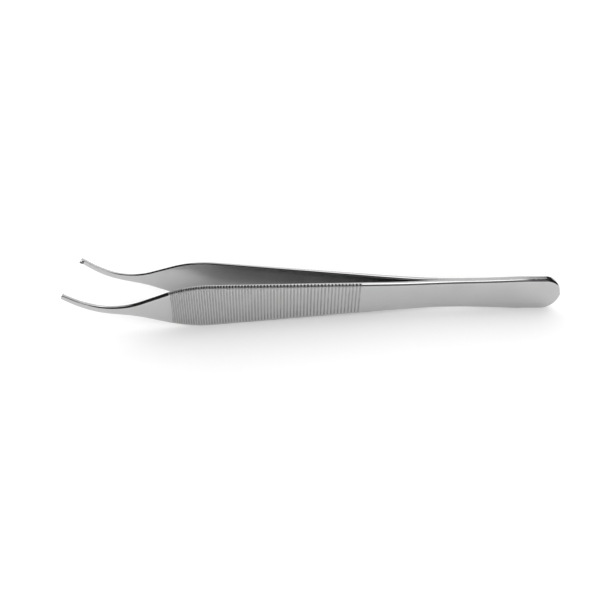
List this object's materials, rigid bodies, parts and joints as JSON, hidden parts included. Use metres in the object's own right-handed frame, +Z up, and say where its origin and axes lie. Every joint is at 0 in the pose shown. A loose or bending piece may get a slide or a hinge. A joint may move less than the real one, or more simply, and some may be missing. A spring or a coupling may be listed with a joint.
{
  "type": "thumb forceps",
  "caption": "Fine thumb forceps of satin steel: two springy arms joined at a round heel, wide cross-grooved thumb grips, slender upcurved beaks and interlocking teeth at the tips.",
  "frame": {"origin": "on the surface that the forceps lies on, halfway between the tips and the end of the heel, in the plane where the two arms meet", "axes": "+X from the tips towards the heel, +Y from the left arm to the right arm, +Z up, the way the beaks curve"},
  "size_m": [0.1204, 0.0172, 0.0113],
  "materials": {
    "satin_steel": "satin stainless steel with polished, rounded rims and fine cross grooves on the grips"
  },
  "bodies": {
    "root": {"left_arm": "satin_steel", "right_arm": "satin_steel"}
  },
  "joints": []
}
